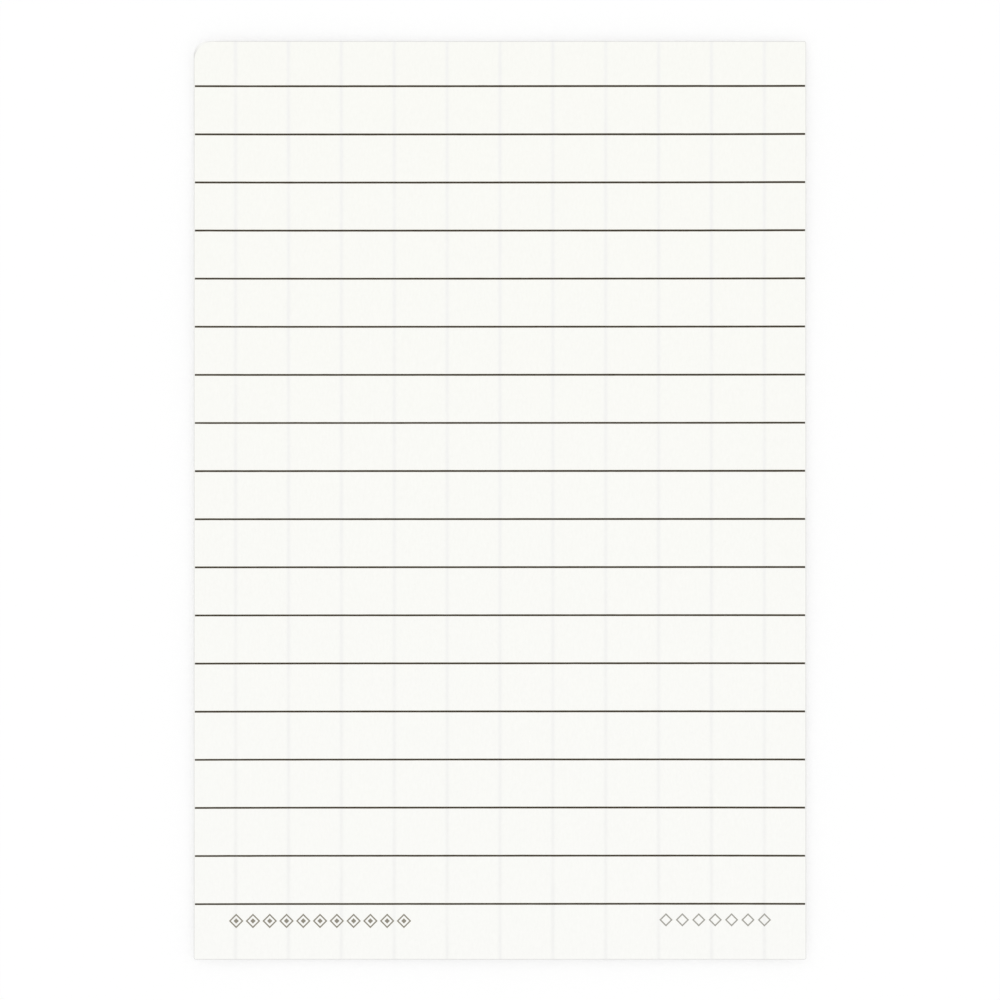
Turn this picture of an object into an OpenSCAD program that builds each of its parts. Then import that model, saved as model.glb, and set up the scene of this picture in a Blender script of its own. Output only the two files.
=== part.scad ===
// A sheet of letter writing paper that lies flat, ruled across the front and down the back.
// X runs across the sheet, Y runs up to its head, and Z points out of its front face.
// The origin is the middle of the underside. Sizes are in millimetres.
// Ink soaks into paper, so what is printed is a thin solid that lies flush in its face.

/* [Sheet] */
// Width of the sheet
sheet_w = 100; // [80:1:300]
// Length of the sheet, from head to foot
sheet_l = 150; // [80:1:450]
// Thickness of the paper
sheet_t = 0.2; // [0.1:0.01:0.5]
// Radius of the worn corner, at the left of the head
worn_corner_r = 2.4; // [0.5:0.1:5]
// Radius of the other three corners
cut_corner_r = 0.3; // [0.1:0.1:3]

/* [Front ruling] */
// Distance from the head of the sheet to the first line
head_space = 7.32; // [4:0.01:20]
// Distance from one line to the next
line_pitch = 7.86; // [6:0.01:15]
// Least space that stays clear below the last line
foot_space = 8; // [7:0.1:20]
// Width of a line
line_w = 0.3; // [0.1:0.01:1]

/* [Back ruling] */
// Distance from one line to the next
column_pitch = 8.64; // [6:0.01:15]
// Least space that stays clear at each side
side_space = 6; // [2:0.1:15]
// Width of a line
column_line_w = 0.3; // [0.1:0.01:1]

/* [Marks at the left of the foot] */
// Width and height of a lozenge
left_size = 2.4; // [1:0.1:2.5]
// Distance from one lozenge to the next
left_pitch = 2.74; // [2.6:0.01:3.2]
// Number of lozenges
left_count = 11; // [1:1:12]
// Distance from the last line to the middle of the row
left_drop = 2.78; // [2:0.01:4]
// Width and height of the dot in each lozenge
dot_size = 0.9; // [0.3:0.05:1]

/* [Marks at the right of the foot] */
// Width and height of a lozenge
right_size = 2.2; // [1:0.1:2.5]
// Distance from one lozenge to the next
right_pitch = 2.68; // [2.6:0.01:3.2]
// Number of lozenges
right_count = 7; // [1:1:8]
// Distance from the last line to the middle of the row
right_drop = 2.6; // [2:0.01:4]

/* [Both rows of marks] */
// Width of a lozenge's outline
mark_stroke = 0.24; // [0.1:0.01:0.3]
// Distance from each side of the sheet to its row
mark_inset = 5.7; // [3:0.05:8]

/* [Ink] */
// Depth to which the ink soaks in
ink_depth = 0.02; // [0.01:0.005:0.04]

/* [Hidden] */

// How far a cutting shape reaches past the faces that it cuts
over = 1;

line_count = floor((sheet_l - head_space - foot_space) / line_pitch) + 1;
first_line_y = sheet_l / 2 - head_space;
last_line_y = first_line_y - (line_count - 1) * line_pitch;
column_count = floor((sheet_w - 2 * side_space) / column_pitch) + 1;
first_column_x = -(column_count - 1) * column_pitch / 2;

$fn = 64;

// What rounding to radius r takes off a corner that stands at the origin and points along +X and +Y
module corner_waste(r) {
    difference() {
        translate([-r, -r]) square(r + over);
        translate([-r, -r]) circle(r);
    }
}

module sheet_outline() {
    difference() {
        square([sheet_w, sheet_l], center = true);
        translate([-sheet_w / 2, sheet_l / 2]) rotate(90) corner_waste(worn_corner_r);
        translate([sheet_w / 2, sheet_l / 2]) corner_waste(cut_corner_r);
        translate([sheet_w / 2, -sheet_l / 2]) rotate(-90) corner_waste(cut_corner_r);
        translate([-sheet_w / 2, -sheet_l / 2]) rotate(180) corner_waste(cut_corner_r);
    }
}

// The whole sheet, with nothing printed on it
module blank_sheet() {
    linear_extrude(sheet_t) sheet_outline();
}

// What is printed reaches this depth on each side of the front face
module front_print_depth() {
    translate([0, 0, sheet_t - ink_depth]) linear_extrude(2 * ink_depth) children();
}

module back_print_depth() {
    translate([0, 0, -ink_depth]) linear_extrude(2 * ink_depth) children();
}

// Lines across the front, which run off both sides of the sheet
module lines_across() {
    front_print_depth()
        for (i = [0 : line_count - 1])
            translate([0, first_line_y - i * line_pitch])
                square([sheet_w + 2 * over, line_w], center = true);
}

// Lines down the back, which run off the head and the foot
module lines_down() {
    back_print_depth()
        for (i = [0 : column_count - 1])
            translate([first_column_x + i * column_pitch, 0])
                square([column_line_w, sheet_l + 2 * over], center = true);
}

// A square that stands on a corner, with that width and height
module standing_square(size) {
    rotate(45) square(size / sqrt(2), center = true);
}

// An outlined lozenge. Its stroke is measured square to its sides, so the width loses root 2 times as much.
module lozenge(size) {
    difference() {
        standing_square(size);
        standing_square(size - 2 * sqrt(2) * mark_stroke);
    }
}

// Copies of a mark that start at x and follow one another along direction, which is 1 or -1
module row(x, y, direction, size, pitch, count) {
    for (i = [0 : count - 1])
        translate([x + direction * (size / 2 + i * pitch), y]) children();
}

module dotted_lozenges() {
    front_print_depth()
        row(-sheet_w / 2 + mark_inset, last_line_y - left_drop, 1, left_size, left_pitch, left_count) {
            lozenge(left_size);
            standing_square(dot_size);
        }
}

module plain_lozenges() {
    front_print_depth()
        row(sheet_w / 2 - mark_inset, last_line_y - right_drop, -1, right_size, right_pitch, right_count)
            lozenge(right_size);
}

module sheet() {
    color("ivory") difference() {
        blank_sheet();
        lines_across();
        lines_down();
        dotted_lozenges();
        plain_lozenges();
    }
}

module front_ruling() {
    color([0.19, 0.17, 0.13]) intersection() {
        blank_sheet();
        lines_across();
    }
}

module back_ruling() {
    color([0.19, 0.17, 0.13]) intersection() {
        blank_sheet();
        lines_down();
    }
}

module left_marks() {
    color([0.54, 0.52, 0.47]) intersection() {
        blank_sheet();
        dotted_lozenges();
    }
}

module right_marks() {
    color([0.66, 0.65, 0.62]) intersection() {
        blank_sheet();
        plain_lozenges();
    }
}

sheet();
front_ruling();
back_ruling();
left_marks();
right_marks();
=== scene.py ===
# %% [markdown]
# # A ruled sheet of letter paper
# The object is one sheet of stout white paper. Dark lines cross its front. A second set of lines runs
# down its back and shows through as faint grey bands. One corner is worn round.
#
# A flat model of the sheet already exists, with every printed line in its true place. This script dresses
# it. It bends the paper a little, as paper lies, prints the ink on the bent surface, and lights it
# softly. All shapes are worked out in millimetres, because that is how paper is measured, and turned to
# metres at the moment that they go into Blender.

import bpy
import numpy as np
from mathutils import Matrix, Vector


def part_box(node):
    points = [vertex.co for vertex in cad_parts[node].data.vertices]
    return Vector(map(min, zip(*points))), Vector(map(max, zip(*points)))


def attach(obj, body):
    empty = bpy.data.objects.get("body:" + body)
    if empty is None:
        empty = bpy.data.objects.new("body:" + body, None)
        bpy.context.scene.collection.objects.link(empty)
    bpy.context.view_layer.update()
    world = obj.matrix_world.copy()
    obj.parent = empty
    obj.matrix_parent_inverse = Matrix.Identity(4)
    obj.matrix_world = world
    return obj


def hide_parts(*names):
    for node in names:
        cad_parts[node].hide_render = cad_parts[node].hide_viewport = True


MM = 0.001

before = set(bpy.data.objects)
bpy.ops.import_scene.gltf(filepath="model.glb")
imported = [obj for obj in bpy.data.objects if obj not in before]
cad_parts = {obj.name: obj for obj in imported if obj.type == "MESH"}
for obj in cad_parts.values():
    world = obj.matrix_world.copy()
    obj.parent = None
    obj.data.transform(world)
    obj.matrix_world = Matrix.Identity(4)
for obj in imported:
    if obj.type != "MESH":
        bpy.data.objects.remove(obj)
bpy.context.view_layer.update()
sheet_low, sheet_high = (np.array(corner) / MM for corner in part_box("sheet"))
SHEET_W, SHEET_L, SHEET_T = sheet_high - sheet_low
print(f"The flat sheet is {SHEET_W:.1f} by {SHEET_L:.1f} mm and {SHEET_T:.2f} mm thick")

# %% [markdown]
# ## Where the print lies
# The printed lines have to land where the flat model has them. Its lines are thin boxes, so the vertices
# of a node already say where each line starts and ends. Reading them is safer than writing the same
# numbers twice.

# %% Read the lines
SAME_PLACE_MM = 0.001


def node_points(node):
    """The vertices of a node of the flat model, in millimetres, with a row for each."""
    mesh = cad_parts[node].data
    flat = np.empty(3 * len(mesh.vertices))
    mesh.vertices.foreach_get("co", flat)
    return flat.reshape(-1, 3) / MM


def distinct(values):
    """The different values in an array, in rising order, to a thousandth of a millimetre."""
    return np.unique(np.round(values, 3))


line_edges = distinct(node_points("front_ruling")[:, 1]).reshape(-1, 2)
column_edges = distinct(node_points("back_ruling")[:, 0]).reshape(-1, 2)
LINE_Y = line_edges.mean(axis=1)
LINE_W = np.diff(line_edges).mean()
COLUMN_X = column_edges.mean(axis=1)
COLUMN_W = np.diff(column_edges).mean()
print(f"{len(LINE_Y)} lines across, {len(COLUMN_X)} lines down")

# %% [markdown]
# Each mark is one lozenge inside another. Along the middle of a row, their corners tell where each mark
# starts, where its hollow starts, and so on to its far side.

# %% Read the marks
def read_marks(node, corners_across):
    """The height of a row's middle, and for each mark its centre and its half widths, outer first."""
    points = node_points(node)
    middle_y = (points[:, 1].min() + points[:, 1].max()) / 2
    on_middle = np.abs(points[:, 1] - middle_y) < SAME_PLACE_MM
    corners = distinct(points[on_middle, 0]).reshape(-1, corners_across)
    half_widths = (corners[:, ::-1] - corners)[:, :corners_across // 2] / 2
    return middle_y, corners.mean(axis=1), half_widths


LEFT_ROW = read_marks("left_marks", corners_across=6)
RIGHT_ROW = read_marks("right_marks", corners_across=4)
print(f"{len(LEFT_ROW[1])} marks at the left and {len(RIGHT_ROW[1])} at the right")

# %% [markdown]
# ## Camera
# The photograph looks straight down, and its lines are as far apart at the edges as in the middle. That
# is a long lens from well above. The sheet's edges in the picture give the scale, and so the camera's
# height over them. The edges of a sheet that lies loose stand about a millimetre off the table, so that
# is added.

# %% Camera
IMAGE_PX = 1000
LEFT_EDGE_PX, RIGHT_EDGE_PX = 194.0, 806.0
TOP_EDGE_PX, BOTTOM_EDGE_PX = 41.1, 959.6
RIM_HEIGHT_MM = 1.2
LENS_MM = 300
SENSOR_MM = 36

mm_per_px = (SHEET_W / (RIGHT_EDGE_PX - LEFT_EDGE_PX) + SHEET_L / (BOTTOM_EDGE_PX - TOP_EDGE_PX)) / 2
view_mm = IMAGE_PX * mm_per_px
camera_x = (IMAGE_PX / 2 - (LEFT_EDGE_PX + RIGHT_EDGE_PX) / 2) * mm_per_px
camera_y = ((TOP_EDGE_PX + BOTTOM_EDGE_PX) / 2 - IMAGE_PX / 2) * mm_per_px
camera_z = RIM_HEIGHT_MM + view_mm * LENS_MM / SENSOR_MM

camera_data = bpy.data.cameras.new("camera")
camera_data.lens = LENS_MM
camera_data.sensor_width = SENSOR_MM
camera_data.clip_start = 0.01
camera = bpy.data.objects.new("camera", camera_data)
camera.location = (camera_x * MM, camera_y * MM, camera_z * MM)
bpy.context.scene.collection.objects.link(camera)
bpy.context.scene.camera = camera
print(f"The camera is {camera_z:.0f} mm up and sees {view_mm:.1f} mm across")

# %% [markdown]
# ## How a sheet lies
# Paper that has been handled is never quite flat. Its middle rests on the table, its rim stands up by
# about a millimetre, and long shallow waves run through it. This lift is what puts the soft shadow round
# the sheet in the photograph, so it is modelled and not painted.
#
# A cloth simulation could find such a shape, but a formula gives the same one each time and is easy to
# steer.

# %% The height of the paper
RIM_LIFT, RIM_REACH = 1.05, 27.0
RIPPLE = 0.13
SIDE_RIPPLE_LENGTH, END_RIPPLE_LENGTH = 61, 53
WORN_CORNER_LIFT, WORN_CORNER_REACH = 0.35, 16.0
WAVE_HEIGHT = 0.05
WAVE_LENGTHS = (83, 149), (-190, 71)
# Where an edge's ripple starts, in radians: a middle value, and how far two facing edges are from it
SIDE_START, SIDE_APART = 0.8, 1.9
END_START, END_APART = 0.4, -1.1


def ease(distance_in, reach):
    """Rises as the square of how far a point is inside the last `reach` mm of the paper, from 0 to 1."""
    return np.clip(1 - distance_in / reach, 0, 1) ** 2


def rippled(along, length, phase):
    """A factor that swings round 1 as a sine of the place along an edge."""
    return 1 + RIPPLE * np.sin(2 * np.pi * along / length + phase)


def lie(x, y):
    """Height in mm of the middle of the paper's thickness, over that of a sheet that lies quite flat.

    The rim lifts as a square, times a slow ripple along each edge. Where two edges meet, their two lifts
    are joined by the cube root of the sum of their cubes, so that a corner lifts little more than an edge.
    The worn corner lifts a little more, and two long crossing waves run over the whole sheet.
    """
    side_ripple = rippled(y, SIDE_RIPPLE_LENGTH, SIDE_START + SIDE_APART * np.sign(x))
    end_ripple = rippled(x, END_RIPPLE_LENGTH, END_START + END_APART * np.sign(y))
    side_lift = ease(SHEET_W / 2 - np.abs(x), RIM_REACH) * side_ripple
    end_lift = ease(SHEET_L / 2 - np.abs(y), RIM_REACH) * end_ripple
    rim = RIM_LIFT * np.cbrt(side_lift ** 3 + end_lift ** 3)
    corner = WORN_CORNER_LIFT * ease(np.hypot(x + SHEET_W / 2, y - SHEET_L / 2), WORN_CORNER_REACH)
    waves = np.prod([np.sin(2 * np.pi * (x / across + y / down)) for across, down in WAVE_LENGTHS], axis=0)
    return rim + corner + WAVE_HEIGHT * (1 + waves)


middle_height, corner_height = lie(0.0, 0.0), lie(-SHEET_W / 2, SHEET_L / 2)
print(f"In mm, the middle is at {middle_height:.2f} and the worn corner at {corner_height:.2f}")

# %% [markdown]
# ## The sheet
# The faces are a grid of points. A sine crowds the rows and columns towards the edges, where the corners
# are round and the rim lifts, and leaves the flat middle coarse. The square grid gets its round corners
# from a mapping that turns a square into a quarter of a disc without folding it.

# %% The radii of the corners
def corner_radius(side, end):
    """How far short of a corner the straight part of the flat sheet's side stops. Both are 1 or -1."""
    points = node_points("sheet")
    on_side = np.abs(side * points[:, 0] - SHEET_W / 2) < SAME_PLACE_MM
    return SHEET_L / 2 - (end * points[on_side, 1]).max()


CORNER_R = {(side, end): corner_radius(side, end) for side in (-1, 1) for end in (-1, 1)}
WORN = max(CORNER_R, key=CORNER_R.get)
print("Corner radii in mm:", {corner: round(float(radius), 2) for corner, radius in CORNER_R.items()})

# %% A grid with round corners
COLUMNS, ROWS = 120, 180
CROWDING = 0.97


def crowded(length, cells):
    """Places from -length/2 to length/2 that follow a sine, so that they crowd towards both ends."""
    turn = np.linspace(-1, 1, cells + 1) * CROWDING * np.pi / 2
    return length / 2 * np.sin(turn) / np.sin(turn[-1])


def rounded_grid(inset, blunting=0.0):
    """The x and y of a grid that stops that far inside the sheet's outline, blunted at the worn corner.

    Within r of a corner, with a and b from 0 to 1 towards it, a becomes a times the root of
    1 - b squared / 2, and b becomes b times the root of 1 - a squared / 2. The far sides of that square
    then lie on the arc.
    """
    width, length = SHEET_W - 2 * inset, SHEET_L - 2 * inset
    x, y = np.meshgrid(crowded(width, COLUMNS), crowded(length, ROWS))
    new_x, new_y = x.copy(), y.copy()
    for (side, end), radius in CORNER_R.items():
        r = radius - inset + blunting * ((side, end) == WORN)
        a = np.clip((side * x - width / 2 + r) / r, 0, 1)
        b = np.clip((end * y - length / 2 + r) / r, 0, 1)
        new_x -= side * r * a * (1 - np.sqrt(1 - b ** 2 / 2))
        new_y -= end * r * b * (1 - np.sqrt(1 - a ** 2 / 2))
    return new_x, new_y


row_gaps = np.diff(crowded(SHEET_L, ROWS))
print(f"The rows are {row_gaps.min():.2f} mm apart at the ends and {row_gaps.max():.2f} mm in the middle")

# %% [markdown]
# A blade has cut the rim, and a cut edge is never a sharp box: the fibres bulge out a little. The two
# faces therefore stop just inside the sheet's outline, and the rim between them is half an ellipse. At
# the worn corner the faces stop shorter, because rubbing has thinned the paper there and made its edge
# broad and soft.
#
# A Bevel modifier could round the rim, but it would be equally wide all round.

# %% Outlines of the faces and of the sheet
RIM_BULGE = 0.08
WORN_BLUNTING = 0.8

face_x, face_y = rounded_grid(RIM_BULGE, WORN_BLUNTING)
edge_x, edge_y = rounded_grid(0)
numbers = np.arange(face_x.size).reshape(face_x.shape)
rim_loop = np.concatenate([numbers[0, :-1], numbers[:-1, -1], numbers[-1, :0:-1], numbers[:0:-1, 0]])
rim_x, rim_y = face_x.ravel()[rim_loop], face_y.ravel()[rim_loop]
out_x, out_y = edge_x.ravel()[rim_loop] - rim_x, edge_y.ravel()[rim_loop] - rim_y
rim_width = np.hypot(out_x, out_y)
print(f"The rim is {np.median(rim_width):.2f} mm wide, and {rim_width.max():.2f} mm at its widest")

# %% A mesh from arrays
def new_piece(name, points, faces, material_of_face=None):
    """A smooth-shaded mesh object from points in mm and a list of arrays of corner numbers."""
    mesh = bpy.data.meshes.new(name)
    all_faces = [face for block in faces for face in block.tolist()]
    mesh.from_pydata((points * MM).tolist(), [], all_faces)
    mesh.validate()
    mesh.shade_smooth()
    if material_of_face is not None:
        mesh.polygons.foreach_set("material_index", material_of_face)
    piece = bpy.data.objects.new(name, mesh)
    bpy.context.scene.collection.objects.link(piece)
    print(f"{name}: {len(mesh.vertices)} points, {len(mesh.polygons)} faces")
    return piece


def grid_faces(numbers):
    """Quads between the neighbours in a 2D array of point numbers, turning left round the face's front."""
    quads = np.stack([numbers[:-1, :-1], numbers[:-1, 1:], numbers[1:, 1:], numbers[1:, :-1]], axis=-1)
    return quads.reshape(-1, 4)


# %% The sheet as a closed shell
RIM_STEPS = 8
INK_PROUD = 0.01
half_t = SHEET_T / 2
lowest = lie(face_x, face_y).min()


def middle(x, y):
    """Height in mm of the middle of the thickness, when the ink on the lowest point touches the table."""
    return lie(x, y) - lowest + half_t + INK_PROUD


front = np.stack([face_x, face_y, middle(face_x, face_y) + half_t], axis=-1).reshape(-1, 3)
back = np.stack([face_x, face_y, middle(face_x, face_y) - half_t], axis=-1).reshape(-1, 3)
turn = np.linspace(np.pi / 2, -np.pi / 2, RIM_STEPS + 1)[1:-1, None]
strip_x, strip_y = rim_x + out_x * np.cos(turn), rim_y + out_y * np.cos(turn)
strip_z = middle(strip_x, strip_y) + half_t * np.sin(turn)
strip = np.stack([strip_x, strip_y, strip_z], axis=-1).reshape(-1, 3)

strip_numbers = 2 * numbers.size + np.arange(strip_x.size).reshape(strip_x.shape)
wall = np.vstack([rim_loop, strip_numbers, rim_loop + numbers.size])
wall = np.hstack([wall, wall[:, :1]])
blocks = [grid_faces(numbers), grid_faces(numbers + numbers.size)[:, ::-1], grid_faces(wall[::-1])]
FRONT_SLOT, BACK_SLOT, RIM_SLOT = range(3)
slots = np.repeat([FRONT_SLOT, BACK_SLOT, RIM_SLOT], [len(block) for block in blocks])
paper = new_piece("letter_sheet", np.vstack([front, back, strip]), blocks, slots)
print(f"The rim stands {front[:, 2].max() - SHEET_T:.2f} mm off the table at its highest")

# %% [markdown]
# ## Printed lines
# A press lays ink on the face of the paper, so each line is a thin ribbon that follows the paper's
# surface. It could be drawn in the paper's material, but a ribbon stays sharp however close the camera
# comes.
#
# One rounded section is carried along each stroke of ink. Its edges sink into the paper and its middle
# stands a hundredth of a millimetre proud. Both edges waver a little, as ink does when it creeps along
# fibres. Ink also thins towards its edges. Each point of the section says how full the ink is there, and
# the material reads that.

# %% The section of a stroke and its ragged edges
SEED = 18
INK_SUNK = 0.03
FEATHER = 0.17
ACROSS = np.array([0.0, FEATHER, 1 - FEATHER, 1.0, 1 - FEATHER, FEATHER])
RAISED = np.array([0.0, INK_PROUD, INK_PROUD, 0.0, -INK_SUNK, -INK_SUNK])
FULLNESS = np.array([0.0, 1.0, 1.0, 0.0, 1.0, 1.0])
SPREAD = 0.012
CREEP = 0.003
CREEP_STEPS = 5
rng = np.random.default_rng(SEED)


def wavering(lines, steps):
    """Smooth seeded noise for each line, about -1 to 1: white noise blurred by a bell over a few steps."""
    noise = rng.standard_normal((lines, steps + 4 * CREEP_STEPS))
    bell = np.hanning(2 * CREEP_STEPS + 3)[1:-1]
    bell /= np.sqrt((bell ** 2).sum())
    blurred = np.apply_along_axis(np.convolve, 1, noise, bell, mode="same")
    return blurred[:, 2 * CREEP_STEPS:2 * CREEP_STEPS + steps]


print(f"The ink spreads {SPREAD} mm past the true width of a line, and its edges waver by {CREEP} mm")

# %% Sections joined into strokes
def close_sections(numbers):
    """Faces that join the sections along each line, and one face to close each end.

    The numbers have a line, a step along it and a point of the section, which runs clockwise seen along it.
    """
    ring = np.concatenate([numbers, numbers[:, :, :1]], axis=2)
    sides = np.stack([ring[:, :-1, :-1], ring[:, :-1, 1:], ring[:, 1:, 1:], ring[:, 1:, :-1]], axis=-1)
    return [sides.reshape(-1, 4), numbers[:, 0, ::-1], numbers[:, -1, :]]


def new_ink(name, points, faces):
    """A piece made of such sections, which keeps how full the ink is at each of its points."""
    piece = new_piece(name, points, faces)
    fullness = piece.data.attributes.new("fullness", "FLOAT", "POINT")
    fullness.data.foreach_set("value", np.resize(FULLNESS, len(points)))
    return piece


# %% Strokes of ink on the bent paper
def on_paper(x, y, side):
    """Points of a stroke on the front (side 1) or the back (side -1), raised outwards by its section."""
    z = middle(x, y) + side * (half_t + RAISED)
    return np.stack([x, y, z], axis=-1).reshape(-1, 3)


def strokes(along, low, high, swap=False, side=1):
    """Strokes that run along x, or along y where swap is true, between a low and a high edge.

    Each array has a row for each stroke and a column for each step along it. A point of the section lies
    at the low edge plus its share of the way across to the high one. Returns the points and the faces.
    """
    across = low[:, :, None] + (high - low)[:, :, None] * ACROSS
    run = np.broadcast_to(along[:, :, None], across.shape)
    x, y = (across, run) if swap else (run, across)
    faces = close_sections(np.arange(x.size).reshape(x.shape))
    runs_clockwise = swap == (side > 0)
    if not runs_clockwise:
        faces = [block[:, ::-1] for block in faces]
    return on_paper(x, y, side), faces


# %% [markdown]
# The lines were printed before the sheet was cut. The blade rolls the edge of the face over a little, so
# from above a line seems to stop just short of the edge. A cut is never quite square to the print either.
# Here the front lines climb by a twentieth of a millimetre from the left of the sheet to its right.
#
# A press never inks a sheet quite evenly. These lines grow about 6 % heavier from the left side to the
# right, and 7 % from the middle to the head, and each line has its own share of ink. More ink spreads
# further, so a heavier line is drawn a little wider.

# %% Lines across the front and down the back
STEP_MM = 0.25
STOP_SHORT = 0.165
FRONT_SKEW = 0.00056
# Extra spread in mm at the right side and at the head, and the usual size of a line's own share
HEAVIER_RIGHT, HEAVIER_HEAD = 0.0044, 0.0117
UNEVEN = 0.003


def inking(x, y):
    """Extra spread of a line's edges in mm: in proportion to x, and as the square of y above the middle."""
    return HEAVIER_RIGHT * x / (SHEET_W / 2) + HEAVIER_HEAD * np.clip(y / (SHEET_L / 2), 0, 1) ** 2


def ruled_lines(name, places, width, length, skew=0.0, swap=False, side=1):
    """Lines at those places. Their edges are half a width and the spread away, give or take the creep."""
    steps = int(length / STEP_MM) + 1
    along = np.broadcast_to(np.linspace(-length / 2, length / 2, steps), (len(places), steps))
    centre = places[:, None] + skew * along
    x, y = (centre, along) if swap else (along, centre)
    own_share = UNEVEN * rng.standard_normal((len(places), 1))
    reach = width / 2 + SPREAD + inking(x, y) + own_share
    low = centre - reach + CREEP * wavering(len(places), steps)
    high = centre + reach + CREEP * wavering(len(places), steps)
    return new_ink(name, *strokes(along, low, high, swap, side))


across_length, down_length = SHEET_W - 2 * STOP_SHORT, SHEET_L - 2 * STOP_SHORT
lines_across = ruled_lines("ruled_lines_front", LINE_Y, LINE_W, across_length, skew=FRONT_SKEW)
lines_down = ruled_lines("ruled_lines_back", COLUMN_X, COLUMN_W, down_length, swap=True, side=-1)

# %% [markdown]
# ## Marks at the foot
# Two rows of small lozenges ornament the foot of the sheet. They are plain outlines at the right, and
# each has a dot inside at the left. They could be copies of one mesh, but on bent paper each lies at its
# own height.
#
# The outline of a lozenge is a stroke that closes on itself. In place of an angle it has a walk from 0 to
# 4 round the corners: x is a triangle wave of the walk, and y is the same wave a quarter of the way
# later. A dot is a short stroke. It is as wide as its distance from its own end allows, which draws a
# solid lozenge.

# %% Outlined lozenges and dots
SIDE_STEPS = 6
DOT_STEPS = 9
BLUNT_TIP = 0.03


def triangle_wave(walk):
    """Falls from 1 to -1 over two steps and climbs back over the next two, in straight lines."""
    return np.abs(np.mod(walk, 4) - 2) - 1


def outlines(middle_y, centres, outer, inner):
    """Lozenge outlines: the walk times a radius that goes from the inner corner to the outer one."""
    walk = np.arange(4 * SIDE_STEPS)[None, :, None] / SIDE_STEPS
    radius = (inner[:, None] + (outer - inner)[:, None] * ACROSS)[:, None, :]
    x = centres[:, None, None] + radius * triangle_wave(walk)
    y = middle_y + radius * triangle_wave(walk - 1)
    numbers = np.arange(x.size).reshape(x.shape)
    return on_paper(x, y, side=1), close_sections(np.concatenate([numbers, numbers[:, :1]], axis=1))[:1]


def dots(middle_y, centres, radius):
    """Solid lozenges: strokes that reach as far up and down as they are from their own end."""
    reach = (radius - BLUNT_TIP)[:, None] * np.linspace(-1, 1, DOT_STEPS)
    half_height = radius[:, None] - np.abs(reach)
    return strokes(centres[:, None] + reach, middle_y - half_height, middle_y + half_height)


def joined(*parts):
    """Several sets of points and faces as one, with the later corner numbers moved up."""
    points, faces, taken = [], [], 0
    for part_points, part_faces in parts:
        points.append(part_points)
        faces += [block + taken for block in part_faces]
        taken += len(part_points)
    return np.vstack(points), faces


# %% The two rows
left_y, left_x, left_half = LEFT_ROW
right_y, right_x, right_half = RIGHT_ROW
left_outlines = outlines(left_y, left_x, left_half[:, 0], left_half[:, 1])
left_dots = dots(left_y, left_x, left_half[:, 2])
left_marks = new_ink("lozenges_left", *joined(left_outlines, left_dots))
right_marks = new_ink("lozenges_right", *outlines(right_y, right_x, right_half[:, 0], right_half[:, 1]))

# %% [markdown]
# ## Materials
# Colours are written as they look on a screen and turned to the linear values that Blender mixes. One
# function adds every node. It takes the node's kind, its settings and what goes into its sockets.

# %% Colour and node helpers
NOISE_DETAIL = 2


def linear(hex_colour):
    """A screen colour such as #FAFAF6 as linear red, green, blue and a full alpha, by the sRGB curve."""
    screen = np.array([int(hex_colour[i:i + 2], 16) for i in (1, 3, 5)]) / 255
    bright = ((screen + 0.055) / 1.055) ** 2.4
    return (*np.where(screen <= 0.04045, screen / 12.92, bright), 1.0)


def add(tree, kind, sockets=None, **settings):
    """Adds a node, sets what it is set to, and fills its sockets with numbers, colours or other sockets."""
    node = tree.nodes.new("ShaderNode" + kind)
    for name, value in settings.items():
        setattr(node, name, value)
    for name, value in (sockets or {}).items():
        if isinstance(value, bpy.types.NodeSocket):
            tree.links.new(value, node.inputs[name])
        else:
            node.inputs[name].default_value = value
    return node


def new_material(name):
    """An empty material with an output node: the material, its tree and the output."""
    material = bpy.data.materials.new(name)
    material.use_nodes = True
    material.node_tree.nodes.clear()
    return material, material.node_tree, add(material.node_tree, "OutputMaterial")


# %% [markdown]
# ### Ink that shows through
# Ink on the far face shows through as a blurred grey band, because light spreads sideways inside the
# paper. Subsurface scattering could work that out, but it is slow and noisy for so faint a band. Here the
# band is drawn in the paper's own tone, and falls away from the line as a bell.
#
# The distance to the nearest line comes from a counter: divide the place by the spacing, round the
# result, and stay within the first and the last line.

# %% Ghosts of ink
GHOST_TONE = "#F5F5F3"
GHOST_SPREAD_MM = 0.3


def ghosts(tree, place, first_mm, spacing_mm, count):
    """A socket that is 1 over a line of the far face and falls as a bell to 0 beside it."""
    counted = add(tree, "Math", {0: place, 1: 1 / (spacing_mm * MM), 2: -first_mm / spacing_mm},
                  operation="MULTIPLY_ADD")
    nearest = add(tree, "Math", {0: counted.outputs[0]}, operation="ROUND")
    not_before = add(tree, "Math", {0: nearest.outputs[0], 1: 0}, operation="MAXIMUM")
    not_after = add(tree, "Math", {0: not_before.outputs[0], 1: count - 1}, operation="MINIMUM")
    away = add(tree, "Math", {0: counted.outputs[0], 1: not_after.outputs[0]}, operation="SUBTRACT")
    spreads = add(tree, "Math", {0: away.outputs[0], 1: spacing_mm / GHOST_SPREAD_MM}, operation="MULTIPLY")
    squared = add(tree, "Math", {0: spreads.outputs[0], 1: spreads.outputs[0]}, operation="MULTIPLY")
    negative = add(tree, "Math", {0: squared.outputs[0], 1: -1}, operation="MULTIPLY")
    return add(tree, "Math", {0: negative.outputs[0]}, operation="EXPONENT").outputs[0]


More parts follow.
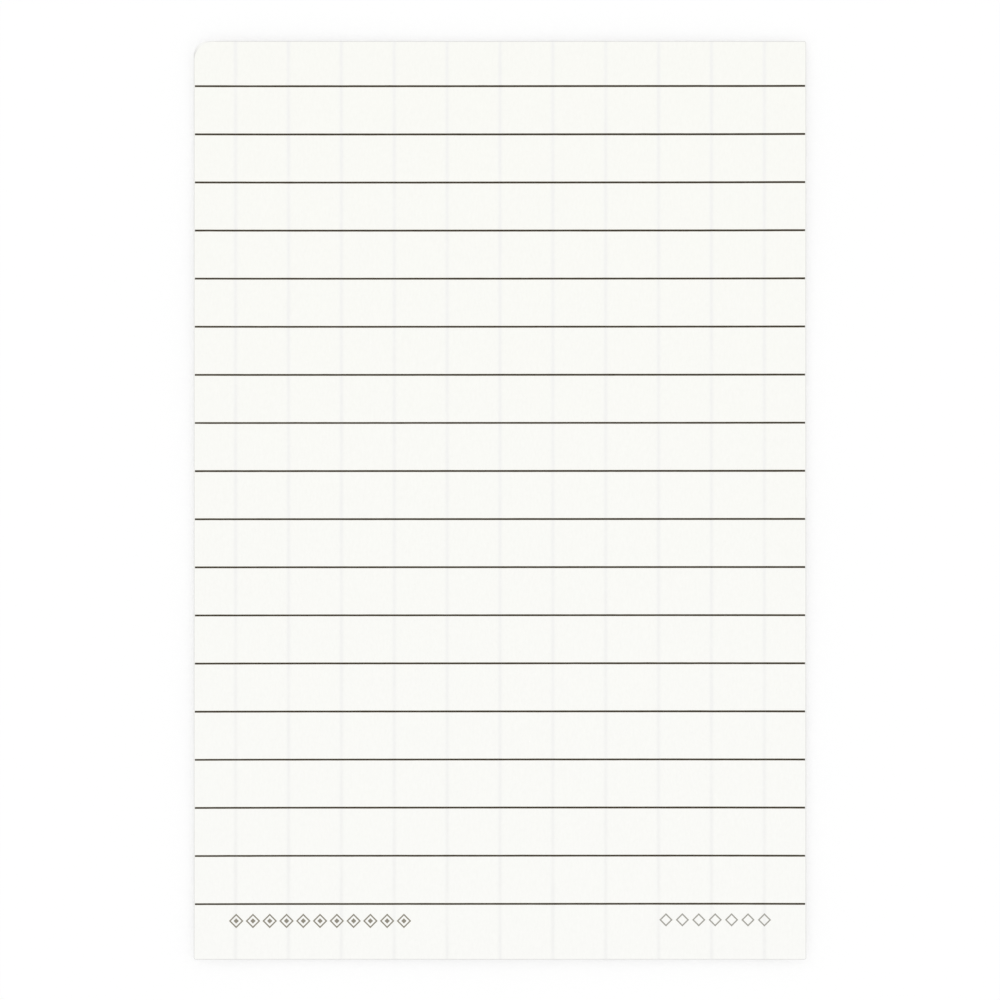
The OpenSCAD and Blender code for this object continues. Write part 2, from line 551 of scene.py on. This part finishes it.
# %% [markdown]
# ### Wove paper
# Wove paper is a mat of bleached wood fibres, pressed smooth. It scatters light evenly with hardly any
# shine. Held to the light it looks cloudy, so the bands of ink show through a little unevenly. Its tone
# also drifts slightly from the head of the sheet to the foot.
#
# A picture of paper could be wrapped round the sheet, but noise that is worked out on the spot has no
# seams and no size of its own. A wood fibre is about 0.03 mm thick and 2 mm long, far too fine to see
# here. The grain is drawn ten times as coarse and a little drawn out along the sheet, which is the way
# that the fibres settle in the paper machine.

# %% Wove paper
HEAD_TONE, FOOT_TONE = "#FBFBF6", "#FBFBF8"
CLOUD_MM = 9
CLOUD_LOW, CLOUD_HIGH = 0.3, 0.7
CLOUD_SWING = 0.3
FIBRE_MM = 0.35
FIBRE_STRETCH = 2.5
FIBRE_DETAIL, FIBRE_ROUGHNESS = 3, 0.6
FIBRE_LOW, FIBRE_HIGH = 0.25, 0.75
MOTTLE_DARKEST = 0.97
RELIEF_MM, RELIEF_STRENGTH = 0.01, 0.25
CELLULOSE_IOR = 1.47


def fibre_noise(tree, place):
    """A socket with fine noise about a half, drawn out along the sheet."""
    stretched = add(tree, "Mapping", {"Vector": place, "Scale": (1, 1 / FIBRE_STRETCH, 1)})
    return add(tree, "TexNoise", {"Vector": stretched.outputs[0], "Scale": 1 / (FIBRE_MM * MM),
                                  "Detail": FIBRE_DETAIL, "Roughness": FIBRE_ROUGHNESS}).outputs["Fac"]


def head_to_foot(tree, place_y):
    """A socket with the paper's tone, which drifts evenly from the head of the sheet to its foot."""
    down = add(tree, "MapRange", {"Value": place_y, "From Min": SHEET_L / 2 * MM,
                                  "From Max": -SHEET_L / 2 * MM})
    return add(tree, "Mix", {"Factor": down.outputs[0], "A": linear(HEAD_TONE), "B": linear(FOOT_TONE)},
               data_type="RGBA").outputs["Result"]


def wove_paper(name, axis, lines_mm):
    """Matt paper, with the ghosts of lines that lie at those places along that axis on its far face."""
    material, tree, output = new_material(name)
    place = add(tree, "TexCoord").outputs["Object"]
    apart = add(tree, "SeparateXYZ", {0: place})
    fibre = fibre_noise(tree, place)
    spacing = (lines_mm[-1] - lines_mm[0]) / (len(lines_mm) - 1)
    ghost = ghosts(tree, apart.outputs[axis], lines_mm[0], spacing, len(lines_mm))
    cloud = add(tree, "TexNoise", {"Vector": place, "Scale": 1 / (CLOUD_MM * MM), "Detail": NOISE_DETAIL})
    uneven = add(tree, "MapRange", {"Value": cloud.outputs["Fac"], "From Min": CLOUD_LOW,
                                    "From Max": CLOUD_HIGH, "To Min": 1 - CLOUD_SWING,
                                    "To Max": 1 + CLOUD_SWING})
    ghost_part = add(tree, "Math", {0: ghost, 1: uneven.outputs[0]}, operation="MULTIPLY")
    marked = add(tree, "Mix", {"Factor": ghost_part.outputs[0], "A": head_to_foot(tree, apart.outputs["Y"]),
                               "B": linear(GHOST_TONE)}, data_type="RGBA")
    mottle = add(tree, "MapRange", {"Value": fibre, "From Min": FIBRE_LOW, "From Max": FIBRE_HIGH,
                                    "To Min": MOTTLE_DARKEST, "To Max": 1})
    speckled = add(tree, "VectorMath", {0: marked.outputs["Result"], "Scale": mottle.outputs[0]},
                   operation="SCALE")
    relief = add(tree, "Bump", {"Height": fibre, "Strength": RELIEF_STRENGTH, "Distance": RELIEF_MM * MM})
    surface = add(tree, "BsdfPrincipled", {"Base Color": speckled.outputs[0], "Roughness": 0.85,
                                           "IOR": CELLULOSE_IOR, "Specular IOR Level": 0.15,
                                           "Normal": relief.outputs[0]})
    tree.links.new(surface.outputs[0], output.inputs["Surface"])
    print(f"{name}: {len(tree.nodes)} nodes")
    return material


# %% [markdown]
# ### Cut edge, with painted shade
# The blade leaves the ends of the fibres bare, and they hold a little dust. The rim is painted darker than
# the faces, partly for that dust and partly as painted shade, which stands in for the shade of the edge and
# the thin shadow along it. Seen from above it draws a grey hairline round the sheet. Its grain is drawn
# coarser than the fibre ends, so that it shows.
#
# At the worn corner the rim is painted paler, with less of its dust and painted shade, most of all towards
# the head. The pale patch could be painted by hand, but a fall-off round one point of the corner's arc is
# simpler, and moves with the corner.

# %% Cut edge
EDGE_GRAIN_MM = 0.2
# The rim's two tones are partly dust and partly painted shade for the edge and the thin shadow along it
EDGE_DUST_AND_SHADE_DARK, EDGE_DUST_AND_SHADE_PALE = "#D0D0CD", "#DEDEDC"
# A paler rim at the worn corner: less of the rim's painted shade and dust there, most towards the head
PALER_RIM_TONE = "#F8F8F5"
PALER_RIM_AT_DEG = 60
PALER_RIM_MM = 3.2


def on_worn_arc(degrees):
    """A point of the worn corner's outline in metres, that far round the arc from the sheet's long side."""
    side, end = WORN
    r = CORNER_R[WORN]
    x = side * (SHEET_W / 2 - r + r * np.cos(np.radians(degrees)))
    y = end * (SHEET_L / 2 - r + r * np.sin(np.radians(degrees)))
    return x * MM, y * MM, middle(x, y) * MM


def near(tree, place, spot, reach_mm):
    """A socket that is 1 at a spot and falls smoothly to 0 at that reach from it."""
    away = add(tree, "VectorMath", {0: place, 1: spot}, operation="DISTANCE")
    return add(tree, "MapRange", {"Value": away.outputs["Value"], "From Min": reach_mm * MM, "From Max": 0},
               interpolation_type="SMOOTHSTEP").outputs[0]


def cut_edge(name):
    """The fibrous rim: a greyish white of dust and painted shade, with a fine grain, and paler at the worn
    corner.
    """
    material, tree, output = new_material(name)
    place = add(tree, "TexCoord").outputs["Object"]
    grain = add(tree, "TexNoise", {"Vector": place, "Scale": 1 / (EDGE_GRAIN_MM * MM),
                                   "Detail": NOISE_DETAIL})
    # The rim's tone, dust and painted shade, wanders between its two tones with the grain
    tone = add(tree, "Mix", {"Factor": grain.outputs["Fac"], "A": linear(EDGE_DUST_AND_SHADE_DARK), "B": linear(EDGE_DUST_AND_SHADE_PALE)},
               data_type="RGBA")
    # Less of the rim's painted shade and dust round one point of the worn corner's arc
    paler_rim = add(tree, "Mix", {"Factor": near(tree, place, on_worn_arc(PALER_RIM_AT_DEG), PALER_RIM_MM),
                               "A": tone.outputs["Result"], "B": linear(PALER_RIM_TONE)}, data_type="RGBA")
    surface = add(tree, "BsdfPrincipled", {"Base Color": paler_rim.outputs["Result"], "Roughness": 0.95,
                                           "IOR": CELLULOSE_IOR, "Specular IOR Level": 0.1})
    tree.links.new(surface.outputs[0], output.inputs["Surface"])
    print(f"{name}: {len(tree.nodes)} nodes")
    return material


# %% [markdown]
# ### Printing ink
# Offset ink sinks into uncoated paper and dries matt. It covers unevenly, so its tone is mottled at the
# scale of the fibres, and at the edge of a stroke it thins out to a warm brown. The lines are near-black.
# Small marks take less ink, so they are brownish and pale grey.
#
# One flat colour could do from far away, but close up it looks like plastic tape.

# %% Printing ink
INK_MOTTLE_MM = 0.3
DRIED_OIL_IOR = 1.48


def printing_ink(name, dense, thin, edge):
    """Matt ink whose tone wanders from a dense to a thin colour, and turns to the edge colour at its rim."""
    material, tree, output = new_material(name)
    place = add(tree, "TexCoord").outputs["Object"]
    cover = add(tree, "TexNoise", {"Vector": place, "Scale": 1 / (INK_MOTTLE_MM * MM),
                                   "Detail": NOISE_DETAIL})
    tone = add(tree, "Mix", {"Factor": cover.outputs["Fac"], "A": linear(dense), "B": linear(thin)},
               data_type="RGBA")
    fullness = add(tree, "Attribute", attribute_name="fullness")
    feathered = add(tree, "Mix", {"Factor": fullness.outputs["Fac"], "A": linear(edge),
                                  "B": tone.outputs["Result"]}, data_type="RGBA")
    surface = add(tree, "BsdfPrincipled", {"Base Color": feathered.outputs["Result"], "Roughness": 0.8,
                                           "IOR": DRIED_OIL_IOR, "Specular IOR Level": 0.15})
    tree.links.new(surface.outputs[0], output.inputs["Surface"])
    print(f"{name}: {len(tree.nodes)} nodes")
    return material


# %% Put the materials on
paper.data.materials.append(wove_paper("wove_paper_front", "X", COLUMN_X))
paper.data.materials.append(wove_paper("wove_paper_back", "Y", LINE_Y))
# The rim's material carries painted shade as well as dust
paper.data.materials.append(cut_edge("paper_edge_dust_and_painted_shade"))
ruling_ink = printing_ink("offset_ink_brown_black", "#39332A", "#403A31", "#B5AA92")
lines_across.data.materials.append(ruling_ink)
lines_down.data.materials.append(ruling_ink)
left_marks.data.materials.append(printing_ink("offset_ink_brown_grey", "#8A8478", "#949085", "#D5D1C4"))
right_marks.data.materials.append(printing_ink("offset_ink_pale_grey", "#A09E97", "#AAA8A0", "#DBD9D2"))

# %% [markdown]
# ## Light
# The shadow round the sheet is faint and even on all sides. The light is therefore a white sky with one
# wide lamp overhead. A single small lamp would draw a hard shadow on one side. What the camera sees of
# the sky is a full white, but the sky gives a little less light than that, so that the paper doesn't burn
# out.

# %% Sky
SKY_STRENGTH = 0.85
WHITE = (1, 1, 1, 1)


def seen_directly(tree):
    """A socket that is 1 for what the camera sees, also in a shiny or clear surface, and 0 otherwise."""
    ray = add(tree, "LightPath")
    straight = add(tree, "Math", {0: ray.outputs["Is Camera Ray"], 1: ray.outputs["Is Glossy Ray"]},
                   operation="MAXIMUM")
    return add(tree, "Math", {0: straight.outputs[0], 1: ray.outputs["Is Transmission Ray"]},
               operation="MAXIMUM").outputs[0]


world = bpy.data.worlds.new("studio")
world.use_nodes = True
sky_tree = world.node_tree
sky_tree.nodes.clear()
sky = add(sky_tree, "Background", {"Color": WHITE, "Strength": SKY_STRENGTH})
backdrop = add(sky_tree, "Background", {"Color": WHITE, "Strength": 1})
mixed_sky = add(sky_tree, "MixShader", {0: seen_directly(sky_tree), 1: sky.outputs[0],
                                        2: backdrop.outputs[0]})
add(sky_tree, "OutputWorld", {"Surface": mixed_sky.outputs[0]})
bpy.context.scene.world = world
print(f"The sky lights at {SKY_STRENGTH} of a full white")

# %% Lamp
LAMP_SIZE_M = 4
LAMP_HEIGHT_M = 1.6
LAMP_POWER_W = 12

lamp_data = bpy.data.lights.new("overhead_softbox", "AREA")
lamp_data.shape = "SQUARE"
lamp_data.size = LAMP_SIZE_M
lamp_data.energy = LAMP_POWER_W
lamp = bpy.data.objects.new("overhead_softbox", lamp_data)
lamp.location = (0, 0, LAMP_HEIGHT_M)
bpy.context.scene.collection.objects.link(lamp)
print(f"The lamp is {LAMP_SIZE_M} m wide and {LAMP_HEIGHT_M} m up")

# %% [markdown]
# ## Table
# The background of the photograph is pure white, and yet it holds a shadow. A white table alone would
# come out grey. This one is partly a white diffuse surface, which takes the shadow, and for the rest it
# glows white, but only for the eye: the glow doesn't light the paper. Far from the sheet, where no shadow
# falls, the table only glows, so that no horizon shows in a low view.

# %% Table
SHADOW_SHARE = 0.4
SHADOW_ZONE_M, FADE_M = 0.2, 0.6
TABLE_SIZE_M = 40
TABLE_DROP_MM = 0.01

table_material, table_tree, table_output = new_material("white_table")
place = add(table_tree, "TexCoord").outputs["Object"]
from_middle = add(table_tree, "VectorMath", {0: place}, operation="LENGTH")
glow_here = add(table_tree, "MapRange", {"Value": from_middle.outputs["Value"], "From Min": SHADOW_ZONE_M,
                                         "From Max": SHADOW_ZONE_M + FADE_M, "To Min": 1 - SHADOW_SHARE,
                                         "To Max": 1})
glow_share = add(table_tree, "Math", {0: seen_directly(table_tree), 1: glow_here.outputs[0]},
                 operation="MULTIPLY")
matt_white = add(table_tree, "BsdfDiffuse", {"Color": WHITE})
glow = add(table_tree, "Emission", {"Color": WHITE, "Strength": 1})
mixed_table = add(table_tree, "MixShader", {0: glow_share.outputs[0], 1: matt_white.outputs[0],
                                            2: glow.outputs[0]})
table_tree.links.new(mixed_table.outputs[0], table_output.inputs["Surface"])

half_table = TABLE_SIZE_M / 2 / MM
table_corners = np.array([[-1, -1], [1, -1], [1, 1], [-1, 1]]) * half_table
table_points = np.column_stack([table_corners, np.full(4, -TABLE_DROP_MM)])
table = new_piece("table", table_points, [np.array([[0, 1, 2, 3]])])
table.data.materials.append(table_material)

scene = bpy.context.scene
scene.view_settings.view_transform = "Standard"

# %% [markdown]
# ## Hand the pieces over
# Each piece rides on the model's one body and stands for the flat solid that it dresses.

# %% Tie each piece to the flat model
DRESSED = (
    (paper, "sheet", "paper"),
    (lines_across, "front_ruling", "ruling_ink"),
    (lines_down, "back_ruling", "ruling_ink"),
    (left_marks, "left_marks", "dark_mark_ink"),
    (right_marks, "right_marks", "light_mark_ink"),
)
for piece, node, slot in DRESSED:
    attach(piece, "root")
    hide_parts(node)
    print(f"{piece.name} stands for {node}, with the finish of {slot}")
